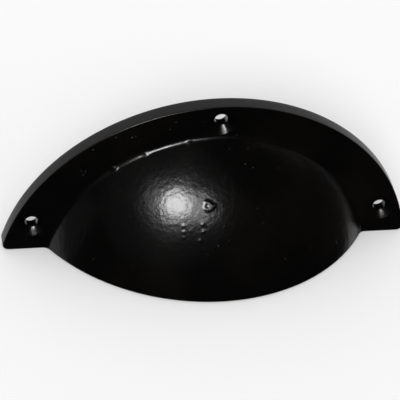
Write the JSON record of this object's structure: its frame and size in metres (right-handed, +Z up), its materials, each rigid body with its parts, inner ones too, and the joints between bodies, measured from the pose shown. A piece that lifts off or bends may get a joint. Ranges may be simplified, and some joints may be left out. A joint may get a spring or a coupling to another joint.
{
  "type": "cup pull",
  "caption": "Cast cup pull for a drawer: a hollow half cup on a flat arched flange with countersunk screw holes, open below for the fingers.",
  "frame": {"origin": "midway between the two lower screw holes, on the flat back face", "axes": "+X along the pull's width, +Y into the drawer front, so the cup stands out towards -Y, +Z up with the finger opening below"},
  "size_m": [0.0992, 0.0254, 0.0415],
  "materials": {
    "black_enamel": "semi-gloss black enamel over cast iron, with a fine orange-peel texture"
  },
  "bodies": {
    "root": {"cup_pull": "black_enamel"}
  },
  "joints": []
}
